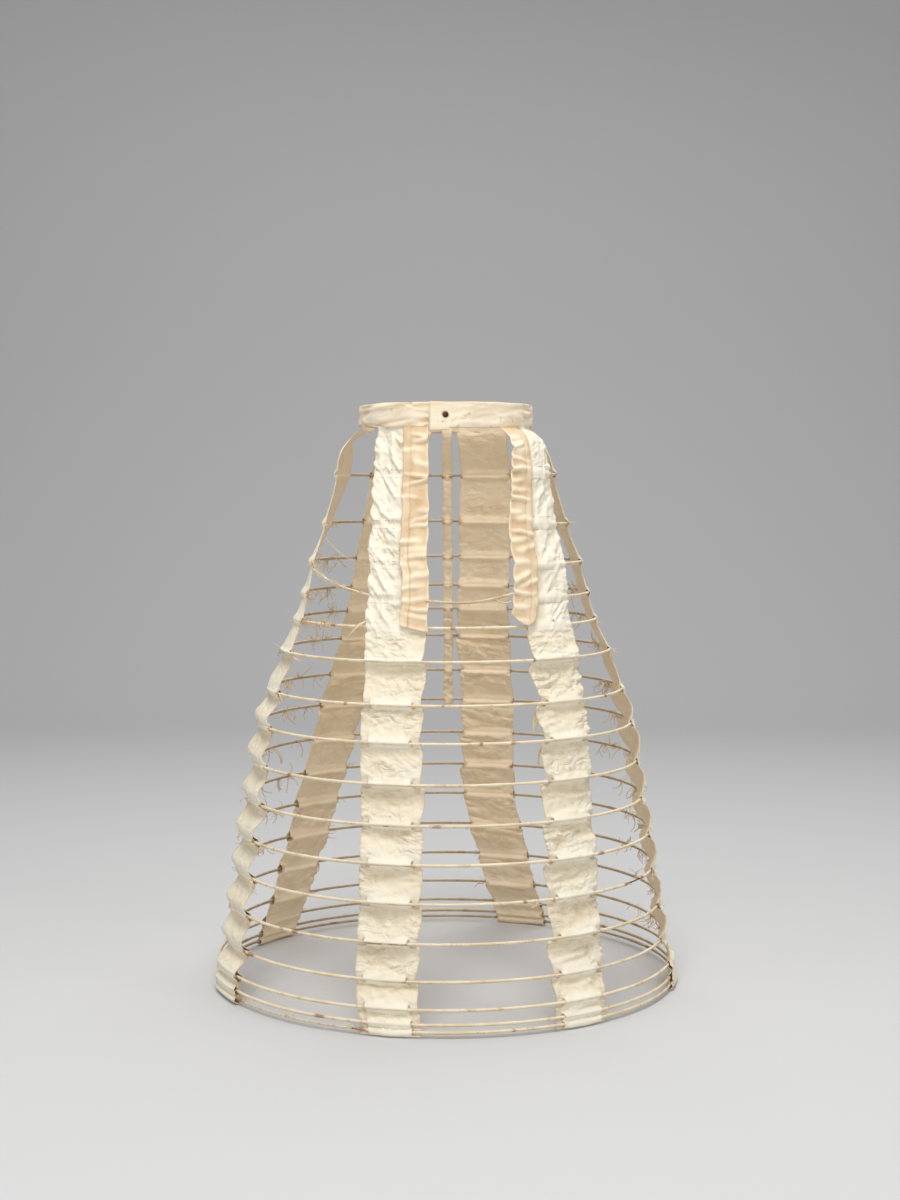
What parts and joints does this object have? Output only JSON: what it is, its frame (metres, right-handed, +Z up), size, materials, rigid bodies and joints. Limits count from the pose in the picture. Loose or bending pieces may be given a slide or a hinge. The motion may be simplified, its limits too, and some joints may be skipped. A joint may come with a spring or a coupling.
{
  "type": "crinoline cage",
  "caption": "Child's cage crinoline: cotton-covered steel hoops hung on pocketed cotton tapes from a waistband, worn and broken in places; holds a skirt out.",
  "frame": {"origin": "centre of the waistband ring, half way up the band", "axes": "+Z up, the way the wearer stands; -Y the wearer's front, where the waistband closes; +X the viewer's right"},
  "size_m": [0.5259, 0.5254, 0.6485],
  "materials": {
    "band_cotton": "plain woven, soft matte",
    "tape_cotton": "ivory twill tape, matte",
    "placket_cotton": "beige cotton, puckered",
    "hoop_braid": "braided cotton, stained and frayed",
    "hoop_steel": "rusted spring steel",
    "rusted_stud": "rusted"
  },
  "bodies": {
    "root": {"back_left_tape": "tape_cotton", "back_right_tape": "tape_cotton", "centre_back_tape": "tape_cotton", "front_left_tape": "tape_cotton", "front_right_tape": "tape_cotton", "hoop_01_cover": "hoop_braid", "hoop_01_wire": "hoop_steel", "hoop_02_cover": "hoop_braid", "hoop_02_wire": "hoop_steel", "hoop_03_cover": "hoop_braid", "hoop_03_loose_thread": "hoop_braid", "hoop_03_wire": "hoop_steel", "hoop_04_cover": "hoop_braid", "hoop_04_empty_cover": "hoop_braid", "hoop_04_loose_braid": "hoop_braid", "hoop_04_wire": "hoop_steel", "hoop_05_cover": "hoop_braid", "hoop_05_wire": "hoop_steel", "hoop_06_cover": "hoop_braid", "hoop_06_wire": "hoop_steel", "hoop_07_cover": "hoop_braid", "hoop_07_wire": "hoop_steel", "hoop_08_cover": "hoop_braid", "hoop_08_wire": "hoop_steel", "hoop_09_cover": "hoop_braid", "hoop_09_wire": "hoop_steel", "hoop_10_cover": "hoop_braid", "hoop_10_wire": "hoop_steel", "hoop_11_cover": "hoop_braid", "hoop_11_wire": "hoop_steel", "hoop_12_cover": "hoop_braid", "hoop_12_wire": "hoop_steel", "hoop_13_cover": "hoop_braid", "hoop_13_wire": "hoop_steel", "hoop_14_cover": "hoop_braid", "hoop_14_wire": "hoop_steel", "hoop_15_cover": "hoop_braid", "hoop_15_wire": "hoop_steel", "hoop_16_cover": "hoop_braid", "hoop_16_wire": "hoop_steel", "hoop_17_cover": "hoop_braid", "hoop_17_wire": "hoop_steel", "left_placket": "placket_cotton", "right_placket": "placket_cotton", "side_left_tape": "tape_cotton", "side_right_tape": "tape_cotton", "waist_stud": "rusted_stud", "waistband": "band_cotton"}
  },
  "joints": []
}
